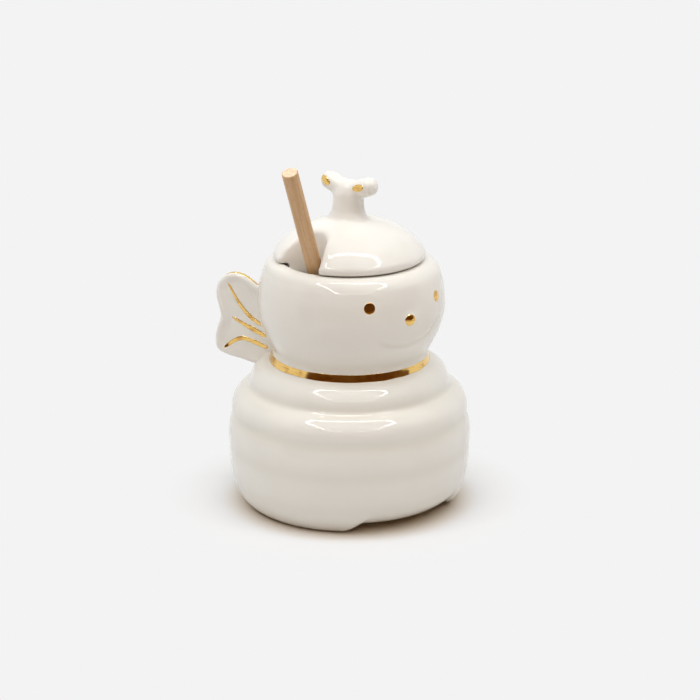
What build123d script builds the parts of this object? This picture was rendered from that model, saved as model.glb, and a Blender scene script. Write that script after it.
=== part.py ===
"""Bee-shaped honey pot with a lift-off lid, two wings, an antenna knob and a wooden honey dipper.

Millimetres, +Z up. The bee faces -Y and stands on Z = 0, with the origin under the middle of its neck.
"""
import os
from math import atan2, cos, radians, sin, tan

from build123d import *

os.makedirs("parts", exist_ok=True)

# Walls, seats and clearances
pot_wall = 4.2
lid_wall = 2.8
rest_gap = 0.3  # between bodies that only rest on each other
flange_clearance = 0.7  # lid flange inside the mouth
gilding_depth = 0.35  # how far a gold inlay is let into its host
gilding_rise = 0.12  # how far it stands proud

# Belly: five ribs from the foot up to the neck
foot_radius = 39.5
rib_heights = [10.5, 13.2, 12.6, 10.7, 13.0]
crest_radii = [45.0, 48.15, 48.7, 45.5, 38.6]
crease_radii = [46.6, 47.9, 46.6, 39.6]
floor_thickness = 4.5

# Foot: hollow underneath, with an arch through it from front to back
foot_hollow_radius = 31.0
arch_height = 4.5
arch_top_width = 41.0
arch_foot_width = 54.0
arch_corner = 5.0

# Neck with its gold band
neck_radius = 31.6
band_height = 2.6

# Head and mouth; its heights count from the top of the neck
head_height = 38.8
head_foot_radius = 30.4
cheek_radius = 35.3
cheek_height = 10.1
head_radius = 37.6
head_widest = 20.9
brow_radius = 37.05
brow_height = 27.7
shoulder_radius = 35.5
shoulder_height = 34.4
shoulder_round = (33.9, 37.2)  # radius and height of the middle of its turn to the rim
rim_radius = 31.0
mouth_radius = 26.3

# Face
eye_diameter = 4.4
eye_height = 90.8
eye_angle = 27.0
nose_diameter = 4.2
nose_rise = 1.1
nose_height = 84.6
smile_half_width = 16.0
smile_drop = 9.0
smile_bottom = 73.7
smile_width = 1.7
smile_depth = 0.55

# Wings: radial plates at the back, their outline in radius and height
wing_angle = 35.0
wing_thickness = 4.6
wing_edge_round = 1.5
wing_rim = 2.3
wing_dish = 0.7
wing_outline = [
    (38.0, 53.3), (45.0, 55.0), (52.0, 56.5), (55.6, 58.6), (56.4, 63.0), (55.2, 68.5), (53.9, 72.6),
    (54.9, 77.2), (55.8, 82.0), (54.4, 87.4), (50.0, 90.8), (45.6, 90.9), (42.0, 89.4), (38.8, 87.1),
]
wing_root_radius = 28.0  # the plate runs in to here and is trimmed by the pot
# Each stroke of a wing: start, middle, end and greatest width
vein_strokes = [
    ((50.2, 86.4), (44.1, 77.5), (37.4, 71.1), 1.5),
    ((48.9, 72.4), (41.7, 68.8), (34.8, 65.7), 1.9),
    ((51.8, 59.8), (44.6, 63.8), (34.0, 61.0), 1.8),
    ((50.4, 89.3), (46.2, 89.6), (40.6, 86.9), 1.2),
]

# Lid
lid_radius = 30.2
lid_seat_radius = 29.3
lid_edge_height = 2.9
lid_shoulder_radius = 29.2
lid_middle_radius = 17.5
lid_middle_height = 12.2  # above the seat, at the middle radius
lid_dome_height = 16.5
hollow_flat_radius = 5.5  # flat middle of the lid's underside, below the knob
flange_depth = 5.0
flange_wall = 2.6

# Dipper notch in the lid
notch_turn = 187.0  # heading of the notch, counted from +X
notch_centre = 22.9
notch_round = 7.4
notch_flare = 32.0  # half of the angle between its sides, at the seat
notch_draft = 8.0
lid_parting = 4.0  # from the axis towards the face, where the dome is parted beside the dipper

# Antenna knob
antenna_turn = 100.0  # heading of the first antenna, counted from the notch
knob_base = (8.4, 7.0)
knob_waist = (7.0, 5.4)
knob_waist_height = 4.8  # above the top of the dome
knob_top = (6.4, 4.6)  # ends inside the root of the antennae
knob_sink = 1.4  # let into the top of the dome
antenna_root_height = 10.2  # above the top of the dome
antenna_root_radius = 5.2
antenna_reach = 9.4
antenna_climb = 3.2
antenna_radius = 3.85
spot_reach = 7.6
spot_size = (4.6, 3.0)

# Honey dipper: a dowel glued into a turned, grooved head
dipper_tilt = 24.4
dipper_turn = 203.9  # heading in which it leans, counted from +X
dipper_mouth_turn = 195.1  # heading of the place where it leaves the mouth
dipper_rim_gap = 0.4
dipper_length = 146.0
stick_radius = 3.175
stick_chamfer = 0.4
bore_clearance = 0.05
bore_depth = 14.0
comb_radius = 11.0
comb_end_radius = 7.5
comb_end_round = 2.0
comb_length = 36.0
comb_shoulder = 6.0
groove_count = 6
groove_pitch = 5.0
groove_width = 2.4
groove_depth = 3.6

# Heights that follow
neck_bottom = sum(rib_heights)
neck_top = neck_bottom + band_height
rim_height = neck_top + head_height
cavity_floor = arch_height + floor_thickness
lid_seat = rim_height + rest_gap
dome_top = lid_seat + lid_dome_height


def heading(angle, length=1.0, height=0.0):
    """The point at a heading from +X, a distance from the Z axis and a height."""
    return Vector(length * cos(radians(angle)), length * sin(radians(angle)), height)


def head_outline(growth):
    """Arcs of the head's outside, from the neck up to the rim, with their radii grown by a length."""
    start = (head_foot_radius + growth, neck_top)
    widest = (head_radius + growth, neck_top + head_widest)
    shoulder = (shoulder_radius + growth, neck_top + shoulder_height)
    ThreePointArc(start, (cheek_radius + growth, neck_top + cheek_height), widest)
    ThreePointArc(widest, (brow_radius + growth, neck_top + brow_height), shoulder)
    turn = (shoulder_round[0] + growth, neck_top + shoulder_round[1])
    ThreePointArc(shoulder, turn, (rim_radius + growth, rim_height))


def pot_outline():
    """Lines of the pot's outside, from the foot up to the mouth and back down the axis."""
    corners = [(foot_radius, 0.0)]
    for radius, height in zip(crease_radii + [neck_radius], rib_heights):
        corners.append((radius, corners[-1][1] + height))
    for start, end, crest in zip(corners, corners[1:], crest_radii):
        ThreePointArc(start, (crest, (start[1] + end[1]) / 2), end)
    Polyline((neck_radius, neck_bottom), (neck_radius, neck_top), (head_foot_radius, neck_top))
    head_outline(0)
    Polyline((rim_radius, rim_height), (0, rim_height), (0, 0), (foot_radius, 0))


# The pot as a solid block, which the wings also fit against
with BuildPart() as pot_block:
    with BuildSketch(Plane.XZ):
        with BuildLine():
            pot_outline()
        make_face()
    revolve(axis=Axis.Z)

# Its inside: the same outline set in by the wall, cut off flat at the floor and opened at the mouth
with BuildPart() as cavity:
    with BuildSketch(Plane.XZ):
        with BuildLine():
            pot_outline()
        make_face()
        mirror(about=Plane.YZ)
        offset(amount=-pot_wall, mode=Mode.REPLACE)
        with Locations((0, rim_height)):
            Rectangle(2 * mouth_radius, 2 * pot_wall + 2)
        with Locations((0, cavity_floor)):
            Rectangle(4 * head_radius, cavity_floor, align=(Align.CENTER, Align.MAX), mode=Mode.SUBTRACT)
        Rectangle(4 * head_radius, 4 * rim_height, align=(Align.MAX, Align.CENTER), mode=Mode.SUBTRACT)
    revolve(axis=Axis.Z)

# Gold band round the neck, in a shallow groove of its own size
with BuildPart() as neck_band:
    with BuildSketch(Plane.XZ):
        with Locations((neck_radius - gilding_depth, (neck_bottom + neck_top) / 2)):
            Rectangle(gilding_depth + gilding_rise, band_height, align=(Align.MIN, Align.CENTER))
    revolve(axis=Axis.Z)
neck_band.part.label = "neck_band"
export_step(neck_band.part, "parts/neck_band.step")


def head_skin(inside, outside):
    """A thin shell of the head, from a depth inside its surface to a height outside it."""
    with BuildPart() as skin:
        with BuildSketch(Plane.XZ):
            with BuildLine():
                head_outline(outside)
                head_outline(-inside)
                Line((head_foot_radius - inside, neck_top), (head_foot_radius + outside, neck_top))
                Line((rim_radius - inside, rim_height), (rim_radius + outside, rim_height))
            make_face()
        revolve(axis=Axis.Z)
    return skin.part


def eye(side):
    """One gold eye dot, on the side of the head given by -1 or 1."""
    look = Plane(origin=(0, 0, eye_height), z_dir=heading(-90 + side * eye_angle))
    with BuildPart() as dot:
        with BuildSketch(look):
            Circle(eye_diameter / 2)
        extrude(amount=2 * head_radius)
        add(head_skin(gilding_depth, gilding_rise), mode=Mode.INTERSECT)
    return dot.part


eye_right = eye(-1)
eye_right.label = "eye_right"
export_step(eye_right, "parts/eye_right.step")
eye_left = eye(1)
eye_left.label = "eye_left"
export_step(eye_left, "parts/eye_left.step")

# Nose: a gold bead set into the head, wide as a ball cut by the surface
brow_bow = (shoulder_height - head_widest) ** 2 / (2 * (head_radius - shoulder_radius))
nose_surface = head_radius - (nose_height - neck_top - head_widest) ** 2 / (2 * brow_bow)
nose_ball = (nose_diameter ** 2 / 4 + nose_rise ** 2) / (2 * nose_rise)
with BuildPart() as nose:
    with Locations((0, -(nose_surface + nose_rise - nose_ball), nose_height)):
        Sphere(nose_ball)
    with Locations((0, -(nose_surface - gilding_depth * 2), nose_height)):
        Box(4 * nose_ball, 4 * nose_ball, 4 * nose_ball,
            align=(Align.CENTER, Align.MIN, Align.CENTER), mode=Mode.SUBTRACT)
nose.part.label = "nose"
export_step(nose.part, "parts/nose.step")

# Smile: a shallow groove, the lower half of an oval seen from the front
with BuildPart() as smile:
    with BuildSketch(Plane.XZ):
        with Locations((0, smile_bottom + smile_drop)):
            Ellipse(smile_half_width + smile_width / 2, smile_drop + smile_width / 2)
            Ellipse(smile_half_width - smile_width / 2, smile_drop - smile_width / 2, mode=Mode.SUBTRACT)
            upper_half = (Align.CENTER, Align.MIN)
            Rectangle(3 * smile_half_width, 2 * smile_drop, align=upper_half, mode=Mode.SUBTRACT)
    extrude(amount=2 * head_radius)
    add(head_skin(smile_depth, 1), mode=Mode.INTERSECT)

# The pot: hollow block with its foot, face and band groove cut
with BuildPart() as pot_casting:
    add(pot_block.part)
    add(cavity.part, mode=Mode.SUBTRACT)
    with BuildSketch(Plane.XY):
        Circle(foot_hollow_radius)
    extrude(amount=arch_height, mode=Mode.SUBTRACT)
    with BuildSketch(Plane.XZ) as arch:
        with BuildLine():
            Polyline(
                (-arch_foot_width / 2, 0),
                (-arch_top_width / 2, arch_height),
                (arch_top_width / 2, arch_height),
                (arch_foot_width / 2, 0),
                close=True,
            )
        make_face()
        fillet(arch.vertices().group_by(Axis.Y)[-1], radius=arch_corner)
    extrude(amount=2 * foot_radius, both=True, mode=Mode.SUBTRACT)
    add(neck_band.part, mode=Mode.SUBTRACT)
    add(eye_right, mode=Mode.SUBTRACT)
    add(eye_left, mode=Mode.SUBTRACT)
    add(nose.part, mode=Mode.SUBTRACT)
    add(smile.part, mode=Mode.SUBTRACT)

# It is one casting, parted here at the top of its floor and the top of its neck
with BuildPart() as pot_foot:
    add(pot_casting.part)
    split(bisect_by=Plane.XY.offset(cavity_floor), keep=Keep.BOTTOM)
pot_foot.part.label = "pot_foot"
export_step(pot_foot.part, "parts/pot_foot.step")

with BuildPart() as pot_belly:
    add(pot_casting.part)
    split(bisect_by=Plane.XY.offset(cavity_floor), keep=Keep.TOP)
    split(bisect_by=Plane.XY.offset(neck_top), keep=Keep.BOTTOM)
pot_belly.part.label = "pot_belly"
export_step(pot_belly.part, "parts/pot_belly.step")

with BuildPart() as pot_head:
    add(pot_casting.part)
    split(bisect_by=Plane.XY.offset(neck_top), keep=Keep.TOP)
pot_head.part.label = "pot_head"
export_step(pot_head.part, "parts/pot_head.step")

# Right wing, in a plane through the pot's axis; its dished face looks forward
wing_heading = 90 + wing_angle
wing_plane = Plane(origin=(0, 0, 0), x_dir=heading(wing_heading), z_dir=heading(wing_heading - 90))
wing_front = wing_plane.offset(-wing_thickness / 2)
dish_floor = wing_front.offset(wing_dish)


def wing_shape(inset):
    """The wing's outline, closed inside the pot and set in by a distance."""
    points = [Vector(*point) for point in wing_outline]
    inset_points = []
    for before, point, after in zip(points[:1] + points, points, points[1:] + points[-1:]):
        along = (after - before).normalized()
        inset_points.append(point + Vector(-along.Y, along.X) * inset)
    with BuildSketch() as shape:
        with BuildLine():
            edge = Spline(*inset_points)
            Polyline(edge @ 1, (wing_root_radius, (edge @ 1).Y), (wing_root_radius, (edge @ 0).Y), edge @ 0)
        make_face()
    return shape.sketch


def stroke(start, middle, end, width):
    """A brush stroke, pointed at both ends."""
    run = Vector(*end) - Vector(*start)
    side = Vector(-run.Y, run.X).normalized() * (width / 2)
    with BuildSketch() as shape:
        with BuildLine():
            ThreePointArc(start, Vector(*middle) + side, end)
            ThreePointArc(end, Vector(*middle) - side, start)
        make_face()
    return shape.sketch


with BuildPart() as wing_veins_right:
    for start, middle, end, width in vein_strokes[:-1]:
        with BuildSketch(dish_floor.offset(-gilding_rise)):
            add(stroke(start, middle, end, width))
        extrude(amount=gilding_depth + gilding_rise)
    with BuildSketch(wing_front.offset(-gilding_rise)):
        add(stroke(*vein_strokes[-1]))
    extrude(amount=gilding_depth + gilding_rise)
    add(pot_block.part, mode=Mode.SUBTRACT)
wing_veins_right.part.label = "wing_veins_right"
export_step(wing_veins_right.part, "parts/wing_veins_right.step")

with BuildPart() as wing_right:
    with BuildSketch(wing_front):
        add(wing_shape(0))
    extrude(amount=wing_thickness)
    fillet(wing_right.edges().filter_by(GeomType.BSPLINE), radius=wing_edge_round)
    with BuildSketch(wing_front):
        add(wing_shape(wing_rim))
    extrude(amount=wing_dish, mode=Mode.SUBTRACT)
    add(pot_block.part, mode=Mode.SUBTRACT)
    add(neck_band.part, mode=Mode.SUBTRACT)
    add(wing_veins_right.part, mode=Mode.SUBTRACT)
wing_right.part.label = "wing_right"
export_step(wing_right.part, "parts/wing_right.step")

# The left wing and its strokes are the mirror image
with BuildPart() as wing_left:
    mirror(wing_right.part, about=Plane.YZ)
wing_left.part.label = "wing_left"
export_step(wing_left.part, "parts/wing_left.step")
with BuildPart() as wing_veins_left:
    mirror(wing_veins_right.part, about=Plane.YZ)
wing_veins_left.part.label = "wing_veins_left"
export_step(wing_veins_left.part, "parts/wing_veins_left.step")

# Antenna knob: an oval stem that parts into two stubby antennae
antenna_heading = notch_turn + antenna_turn
antenna_root = Vector(0, 0, dome_top + antenna_root_height)
antenna_tips = [
    heading(antenna_heading + turn, antenna_reach, antenna_root.Z + antenna_climb) for turn in (0, 180)
]


def antennae(growth):
    """Both antennae and their root, thicker all round by a growth."""
    with BuildPart() as pair:
        with Locations(antenna_root):
            Sphere(antenna_root_radius + growth)
        for tip in antenna_tips:
            with BuildSketch(Plane(origin=antenna_root, z_dir=tip - antenna_root)):
                Circle(antenna_radius + growth)
            extrude(amount=(tip - antenna_root).length)
            with Locations(tip):
                Sphere(antenna_radius + growth)
    return pair.part


# Gold spots on the side of each antenna that faces the notch
with BuildPart() as antenna_spots:
    for tip, turn in zip(antenna_tips, (0, 180)):
        spot_height = antenna_root.Z + antenna_climb * spot_reach / antenna_reach
        spot_centre = heading(antenna_heading + turn, spot_reach, spot_height)
        facing = Plane(origin=spot_centre, x_dir=tip - antenna_root, z_dir=heading(antenna_heading - 90))
        with BuildSketch(facing):
            Ellipse(spot_size[0] / 2, spot_size[1] / 2)
        extrude(amount=2 * antenna_radius)
    add(antennae(gilding_rise), mode=Mode.INTERSECT)
    add(antennae(-gilding_depth), mode=Mode.SUBTRACT)
antenna_spots.part.label = "antenna_spots"
export_step(antenna_spots.part, "parts/antenna_spots.step")

knob_plane = Plane(origin=(0, 0, dome_top), x_dir=heading(antenna_heading), z_dir=(0, 0, 1))
with BuildPart() as knob_block:
    with BuildSketch(knob_plane.offset(-knob_sink)):
        Ellipse(*knob_base)
    with BuildSketch(knob_plane.offset(knob_waist_height)):
        Ellipse(*knob_waist)
    with BuildSketch(knob_plane.offset(antenna_root_height)):
        Ellipse(*knob_top)
    loft()

with BuildPart() as antenna_knob:
    add(knob_block.part)
    add(antennae(0))
    add(antenna_spots.part, mode=Mode.SUBTRACT)
antenna_knob.part.label = "antenna_knob"
export_step(antenna_knob.part, "parts/antenna_knob.step")

# Lid: a solid dome, its hollow, and the notch that the dipper leaves by
dome_shoulder = (lid_shoulder_radius, lid_seat + lid_edge_height)
dome_middle = (lid_middle_radius, lid_seat + lid_middle_height)
hollow_shoulder = (lid_shoulder_radius - 1.3 * lid_wall, dome_shoulder[1])
hollow_middle = (lid_middle_radius - 0.4 * lid_wall, dome_middle[1] - 0.9 * lid_wall)
flange_radius = mouth_radius - flange_clearance

with BuildPart() as lid_block:
    with BuildSketch(Plane.XZ):
        with BuildLine():
            dome_edge = (lid_radius, lid_seat + lid_edge_height * 0.45)
            ThreePointArc((lid_seat_radius, lid_seat), dome_edge, dome_shoulder)
            ThreePointArc(dome_shoulder, dome_middle, (0, dome_top))
            Polyline((0, dome_top), (0, lid_seat), (lid_seat_radius, lid_seat))
        make_face()
    revolve(axis=Axis.Z)

notch_plane = Plane(origin=(0, 0, lid_seat), x_dir=heading(notch_turn), z_dir=(0, 0, 1))


def notch_shape(spread):
    """The notch at the height of the seat, wider all round by a spread."""
    inner_round = notch_round + spread
    reach = 2 * lid_radius
    turn = radians(notch_flare)
    touch = (notch_centre - inner_round * sin(turn), inner_round * cos(turn))
    far = (reach, touch[1] + (reach - touch[0]) * tan(turn))
    with BuildSketch() as shape:
        with BuildLine():
            ThreePointArc((touch[0], -touch[1]), (notch_centre - inner_round, 0), touch)
            Polyline(touch, far, (far[0], -far[1]), (touch[0], -touch[1]))
        make_face()
    return shape.sketch


with BuildPart() as lid_hollow:
    with BuildSketch(Plane.XZ):
        with BuildLine():
            ThreePointArc(hollow_shoulder, hollow_middle, (hollow_flat_radius, dome_top - lid_wall))
            Polyline(
                hollow_shoulder,
                (flange_radius - flange_wall, lid_seat),
                (flange_radius - flange_wall, lid_seat - 2 * flange_depth),
                (0, lid_seat - 2 * flange_depth),
                (0, dome_top - lid_wall),
                (hollow_flat_radius, dome_top - lid_wall),
            )
        make_face()
    revolve(axis=Axis.Z)
    with BuildSketch(notch_plane):
        add(notch_shape(lid_wall))
    extrude(amount=2 * lid_dome_height, taper=-notch_draft, mode=Mode.SUBTRACT)

with BuildPart() as lid_casting:
    add(lid_block.part)
    with BuildSketch(Plane.XY.offset(lid_seat)):
        Circle(flange_radius)
    extrude(amount=-flange_depth)
    with BuildSketch(notch_plane):
        add(notch_shape(0))
    extrude(amount=2 * lid_dome_height, taper=-notch_draft, mode=Mode.SUBTRACT)
    with BuildSketch(notch_plane):
        add(notch_shape(lid_wall))
    extrude(amount=-2 * flange_depth, mode=Mode.SUBTRACT)
    add(lid_hollow.part, mode=Mode.SUBTRACT)
    add(knob_block.part, mode=Mode.SUBTRACT)

# The casting in three nodes, face to face: the dome either side of the dipper, and the ring in the mouth
parting_side = heading(notch_turn + 90)
parting_plane = Plane(origin=parting_side * lid_parting, x_dir=heading(notch_turn), z_dir=parting_side)

with BuildPart() as lid_front:
    add(lid_casting.part)
    split(bisect_by=Plane.XY.offset(lid_seat), keep=Keep.TOP)
    split(bisect_by=parting_plane, keep=Keep.TOP)
lid_front.part.label = "lid_front"
export_step(lid_front.part, "parts/lid_front.step")

with BuildPart() as lid_back:
    add(lid_casting.part)
    split(bisect_by=Plane.XY.offset(lid_seat), keep=Keep.TOP)
    split(bisect_by=parting_plane, keep=Keep.BOTTOM)
lid_back.part.label = "lid_back"
export_step(lid_back.part, "parts/lid_back.step")

with BuildPart() as lid_flange:
    add(lid_casting.part)
    split(bisect_by=Plane.XY.offset(lid_seat), keep=Keep.BOTTOM)
lid_flange.part.label = "lid_flange"
export_step(lid_flange.part, "parts/lid_flange.step")

# Dipper: its foot stands on the cavity floor, and its stick leans on the edge of the mouth
tilt = radians(dipper_tilt)
dipper_axis = heading(dipper_turn, sin(tilt), cos(tilt))
rest_radius = mouth_radius - stick_radius / cos(tilt) - dipper_rim_gap
mouth_point = heading(dipper_mouth_turn, rest_radius, rim_height)
comb_slope = atan2(comb_shoulder, comb_radius - comb_end_radius)
flat_end_radius = comb_end_radius - comb_end_round * tan(comb_slope / 2)
foot_drop = flat_end_radius * sin(tilt) + comb_end_round * (1 - cos(tilt))
foot_height = cavity_floor + rest_gap + foot_drop
dipper_foot = mouth_point - dipper_axis * ((rim_height - foot_height) / cos(tilt))
dipper_side = heading(dipper_turn + 90)
dipper_plane = Plane(origin=dipper_foot, x_dir=dipper_side, z_dir=dipper_axis)
turning_plane = Plane(origin=dipper_foot, x_dir=dipper_side, z_dir=-dipper_plane.y_dir)

with BuildPart() as dipper_comb:
    with BuildSketch(turning_plane) as comb_half:
        with BuildLine():
            Polyline(
                (0, 0), (comb_end_radius, 0), (comb_radius, comb_shoulder),
                (comb_radius, comb_length - comb_shoulder), (comb_end_radius, comb_length), (0, comb_length),
                close=True,
            )
        make_face()
        fillet(comb_half.vertices().group_by(Axis.X)[1], radius=comb_end_round)
        with Locations((comb_radius, comb_length / 2)):
            with GridLocations(1, groove_pitch, 1, groove_count):
                Rectangle(2 * groove_depth, groove_width, mode=Mode.SUBTRACT)
    revolve(axis=Axis(dipper_foot, dipper_axis))
    with BuildSketch(dipper_plane.offset(comb_length)):
        Circle(stick_radius + bore_clearance)
    extrude(amount=-bore_depth, mode=Mode.SUBTRACT)
dipper_comb.part.label = "dipper_comb"
export_step(dipper_comb.part, "parts/dipper_comb.step")

with BuildPart() as dipper_stick:
    with BuildSketch(dipper_plane.offset(comb_length - bore_depth)):
        Circle(stick_radius)
    extrude(amount=dipper_length - comb_length + bore_depth)
    stick_end = dipper_stick.faces().filter_by(dipper_plane).sort_by(Axis.Z)[-1]
    chamfer(stick_end.edges(), length=stick_chamfer)
dipper_stick.part.label = "dipper_stick"
export_step(dipper_stick.part, "parts/dipper_stick.step")

print("dipper foot", dipper_foot, "axis", dipper_axis, "top", dipper_foot + dipper_axis * dipper_length)
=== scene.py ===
import math

import bmesh
import bpy
from mathutils import Matrix, Vector, noise
from mathutils.bvhtree import BVHTree


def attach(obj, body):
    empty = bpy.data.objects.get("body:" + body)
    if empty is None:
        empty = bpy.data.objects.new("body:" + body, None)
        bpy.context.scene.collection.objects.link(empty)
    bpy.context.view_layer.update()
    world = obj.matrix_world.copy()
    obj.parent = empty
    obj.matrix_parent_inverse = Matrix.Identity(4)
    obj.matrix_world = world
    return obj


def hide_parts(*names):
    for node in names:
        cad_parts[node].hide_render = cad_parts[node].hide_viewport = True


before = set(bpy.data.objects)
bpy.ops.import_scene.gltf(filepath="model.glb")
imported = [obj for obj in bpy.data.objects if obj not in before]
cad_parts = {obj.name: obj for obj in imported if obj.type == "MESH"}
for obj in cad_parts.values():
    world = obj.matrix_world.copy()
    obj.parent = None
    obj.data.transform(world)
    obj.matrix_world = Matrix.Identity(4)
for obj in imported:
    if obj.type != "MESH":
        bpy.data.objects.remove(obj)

scene = bpy.context.scene
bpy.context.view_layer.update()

# Everything is shaped in millimetres and scaled to metres when a piece is finished.


def turned(angle, length=1.0, height=0.0):
    # the point at a heading in degrees from +X
    return Vector((length * math.cos(math.radians(angle)), length * math.sin(math.radians(angle)), height))


def blend(value, low, high):
    # 0 below low, 1 above high, eased between
    t = min(1.0, max(0.0, (value - low) / (high - low)))
    return t * t * (3 - 2 * t)


def arcLine(start, middle, end, spacing):
    # points along the circle through three points, the last one left out
    (x1, y1), (x2, y2), (x3, y3) = start, middle, end
    d = 2 * (x1 * (y2 - y3) + x2 * (y3 - y1) + x3 * (y1 - y2))
    s1, s2, s3 = x1 * x1 + y1 * y1, x2 * x2 + y2 * y2, x3 * x3 + y3 * y3
    cx = (s1 * (y2 - y3) + s2 * (y3 - y1) + s3 * (y1 - y2)) / d
    cy = (s1 * (x3 - x2) + s2 * (x1 - x3) + s3 * (x2 - x1)) / d
    radius = math.hypot(x1 - cx, y1 - cy)
    a1 = math.atan2(y1 - cy, x1 - cx)
    sweep = (math.atan2(y3 - cy, x3 - cx) - a1 + math.pi) % (2 * math.pi) - math.pi
    count = max(2, round(abs(sweep) * radius / spacing))
    turns = [a1 + sweep * i / count for i in range(count)]
    return [(cx + radius * math.cos(a), cy + radius * math.sin(a)) for a in turns]


def curveLine(points, spacing):
    # a smooth line through points, evenly divided
    points = [Vector(p) for p in points]
    points = [points[0] * 2 - points[1]] + points + [points[-1] * 2 - points[-2]]
    line = []
    for p0, p1, p2, p3 in zip(points, points[1:], points[2:], points[3:]):
        steps = max(1, round((p2 - p1).length / spacing))
        for k in range(steps):
            t = k / steps
            line.append(0.5 * (2 * p1 + (p2 - p0) * t + (2 * p0 - 5 * p1 + 4 * p2 - p3) * t * t
                               + (3 * p1 - p0 - 3 * p2 + p3) * t ** 3))
    return [tuple(p) for p in line + [points[-2]]]


def softened(line, passes):
    # wears the corners of a line round, its ends kept
    for _ in range(passes):
        inner = [tuple((a + 2 * b + c) / 4 for a, b, c in zip(*three))
                 for three in zip(line, line[1:], line[2:])]
        line = [line[0]] + inner + [line[-1]]
    return line


def spun(line, steps):
    # a closed skin from an outline of (radius, height), turned round Z
    bm = bmesh.new()
    verts = [bm.verts.new((r, 0, z)) for r, z in line]
    edges = [bm.edges.new(pair) for pair in zip(verts, verts[1:])]
    bmesh.ops.spin(bm, geom=verts + edges, cent=(0, 0, 0), axis=(0, 0, 1), angle=2 * math.pi, steps=steps,
                   use_merge=True)
    bmesh.ops.remove_doubles(bm, verts=bm.verts, dist=0.002)
    bmesh.ops.recalc_face_normals(bm, faces=bm.faces)
    return bm


def bridged(bm, rows, closed=False):
    # joins each row of vertices to the next one with quads
    for a, b in zip(rows, rows[1:]):
        for k in range(len(a) if closed else len(a) - 1):
            after = (k + 1) % len(a)
            bm.faces.new((a[k], a[after], b[after], b[k]))


def grown(bm):
    # extrudes a whole sheet and gives the vertices of its new side
    made = bmesh.ops.extrude_face_region(bm, geom=list(bm.faces))
    return [part for part in made["geom"] if isinstance(part, bmesh.types.BMVert)]


def smoothed(bm, verts, passes):
    # wears some of a skin's vertices smooth
    for _ in range(passes):
        bmesh.ops.smooth_vert(bm, verts=verts, factor=0.5, use_axis_x=True, use_axis_y=True, use_axis_z=True)


def joined(whole, part):
    # adds a shape to another one
    spare = bpy.data.meshes.new("spare")
    part.to_mesh(spare)
    part.free()
    whole.from_mesh(spare)
    bpy.data.meshes.remove(spare)


def placed(bm, name, materials=()):
    # makes an object of a shape
    mesh = bpy.data.meshes.new(name)
    bm.to_mesh(mesh)
    bm.free()
    for material in materials:
        mesh.materials.append(material)
    obj = bpy.data.objects.new(name, mesh)
    scene.collection.objects.link(obj)
    return obj


def baked(holder, tools=()):
    # the shape that an object's modifiers give; the object and its tools are thrown away
    bpy.context.view_layer.update()
    evaluated = holder.evaluated_get(bpy.context.evaluated_depsgraph_get())
    bm = bmesh.new()
    bm.from_mesh(evaluated.to_mesh())
    evaluated.to_mesh_clear()
    for obj in [holder, *tools]:
        mesh = obj.data
        bpy.data.objects.remove(obj)
        bpy.data.meshes.remove(mesh)
    return bm


def fused(bm, voxel, passes):
    # melts overlapping shapes into one skin and wears it smooth
    holder = placed(bm, "fusing")
    remesh = holder.modifiers.new("skin", "REMESH")
    remesh.mode = "VOXEL"
    remesh.voxel_size = voxel
    remesh.adaptivity = 0.0
    bm = baked(holder)
    smoothed(bm, bm.verts, passes)
    return bm


def carved(bm, cutters):
    # takes each cutter away from a shape
    body = placed(bm, "carving")
    tools = [placed(cutter, "cutter") for cutter in cutters]
    for tool in tools:
        cut = body.modifiers.new("cut", "BOOLEAN")
        cut.operation = "DIFFERENCE"
        cut.solver = "EXACT"
        cut.object = tool
    return baked(body, tools)


def finished(bm, name, body, materials, nodes):
    # makes a piece that rides on its body in the place of its CAD nodes
    for face in bm.faces:
        face.smooth = True
    bmesh.ops.scale(bm, vec=(0.001, 0.001, 0.001), verts=bm.verts)
    piece = placed(bm, name, materials)
    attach(piece, body)
    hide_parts(*nodes)
    print("made", name, len(piece.data.polygons), "faces")


# Materials


def linear(hexCode):
    # an sRGB hex colour as Blender's linear one
    parts = [int(hexCode[i:i + 2], 16) / 255 for i in (1, 3, 5)]
    return tuple(c / 12.92 if c <= 0.04045 else ((c + 0.055) / 1.055) ** 2.4 for c in parts) + (1.0,)


def addNode(tree, kind, sockets=None, **settings):
    node = tree.nodes.new(kind)
    for name, value in settings.items():
        setattr(node, name, value)
    for name, value in (sockets or {}).items():
        if isinstance(value, bpy.types.NodeSocket):
            tree.links.new(value, node.inputs[name])
        else:
            node.inputs[name].default_value = value
    return node


def newMaterial(name):
    material = bpy.data.materials.new(name)
    material.use_nodes = True
    material.node_tree.nodes.clear()
    return material, material.node_tree


glazeLook = {
    "thin": "#F2EFE9",  # where the glaze breaks over edges
    "body": "#EAE6DD",
    "pooled": "#E6E0D2",  # where it runs together in the creases
    "cloudSize": 14.0,  # mm, slow drifts of tone
    "cloudDrift": 0.3,
    "peelSize": 5.5,  # mm, the slight waviness of a dipped glaze
    "peelDepth": 0.12,
    "pinSize": 0.8,  # mm, pinholes, drawn coarser than the real ones so that they show
    "pinSpacing": 9.0,
    "pinsLeftOut": 0.86,  # share of their places that have none
    "pinColour": "#A59A86",
    "pinShare": 0.22,
    "potSheen": (0.02, 0.045),
    "plainSheen": (0.08, 0.12),
    "wornSheen": (0.2, 0.26),
}


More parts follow.
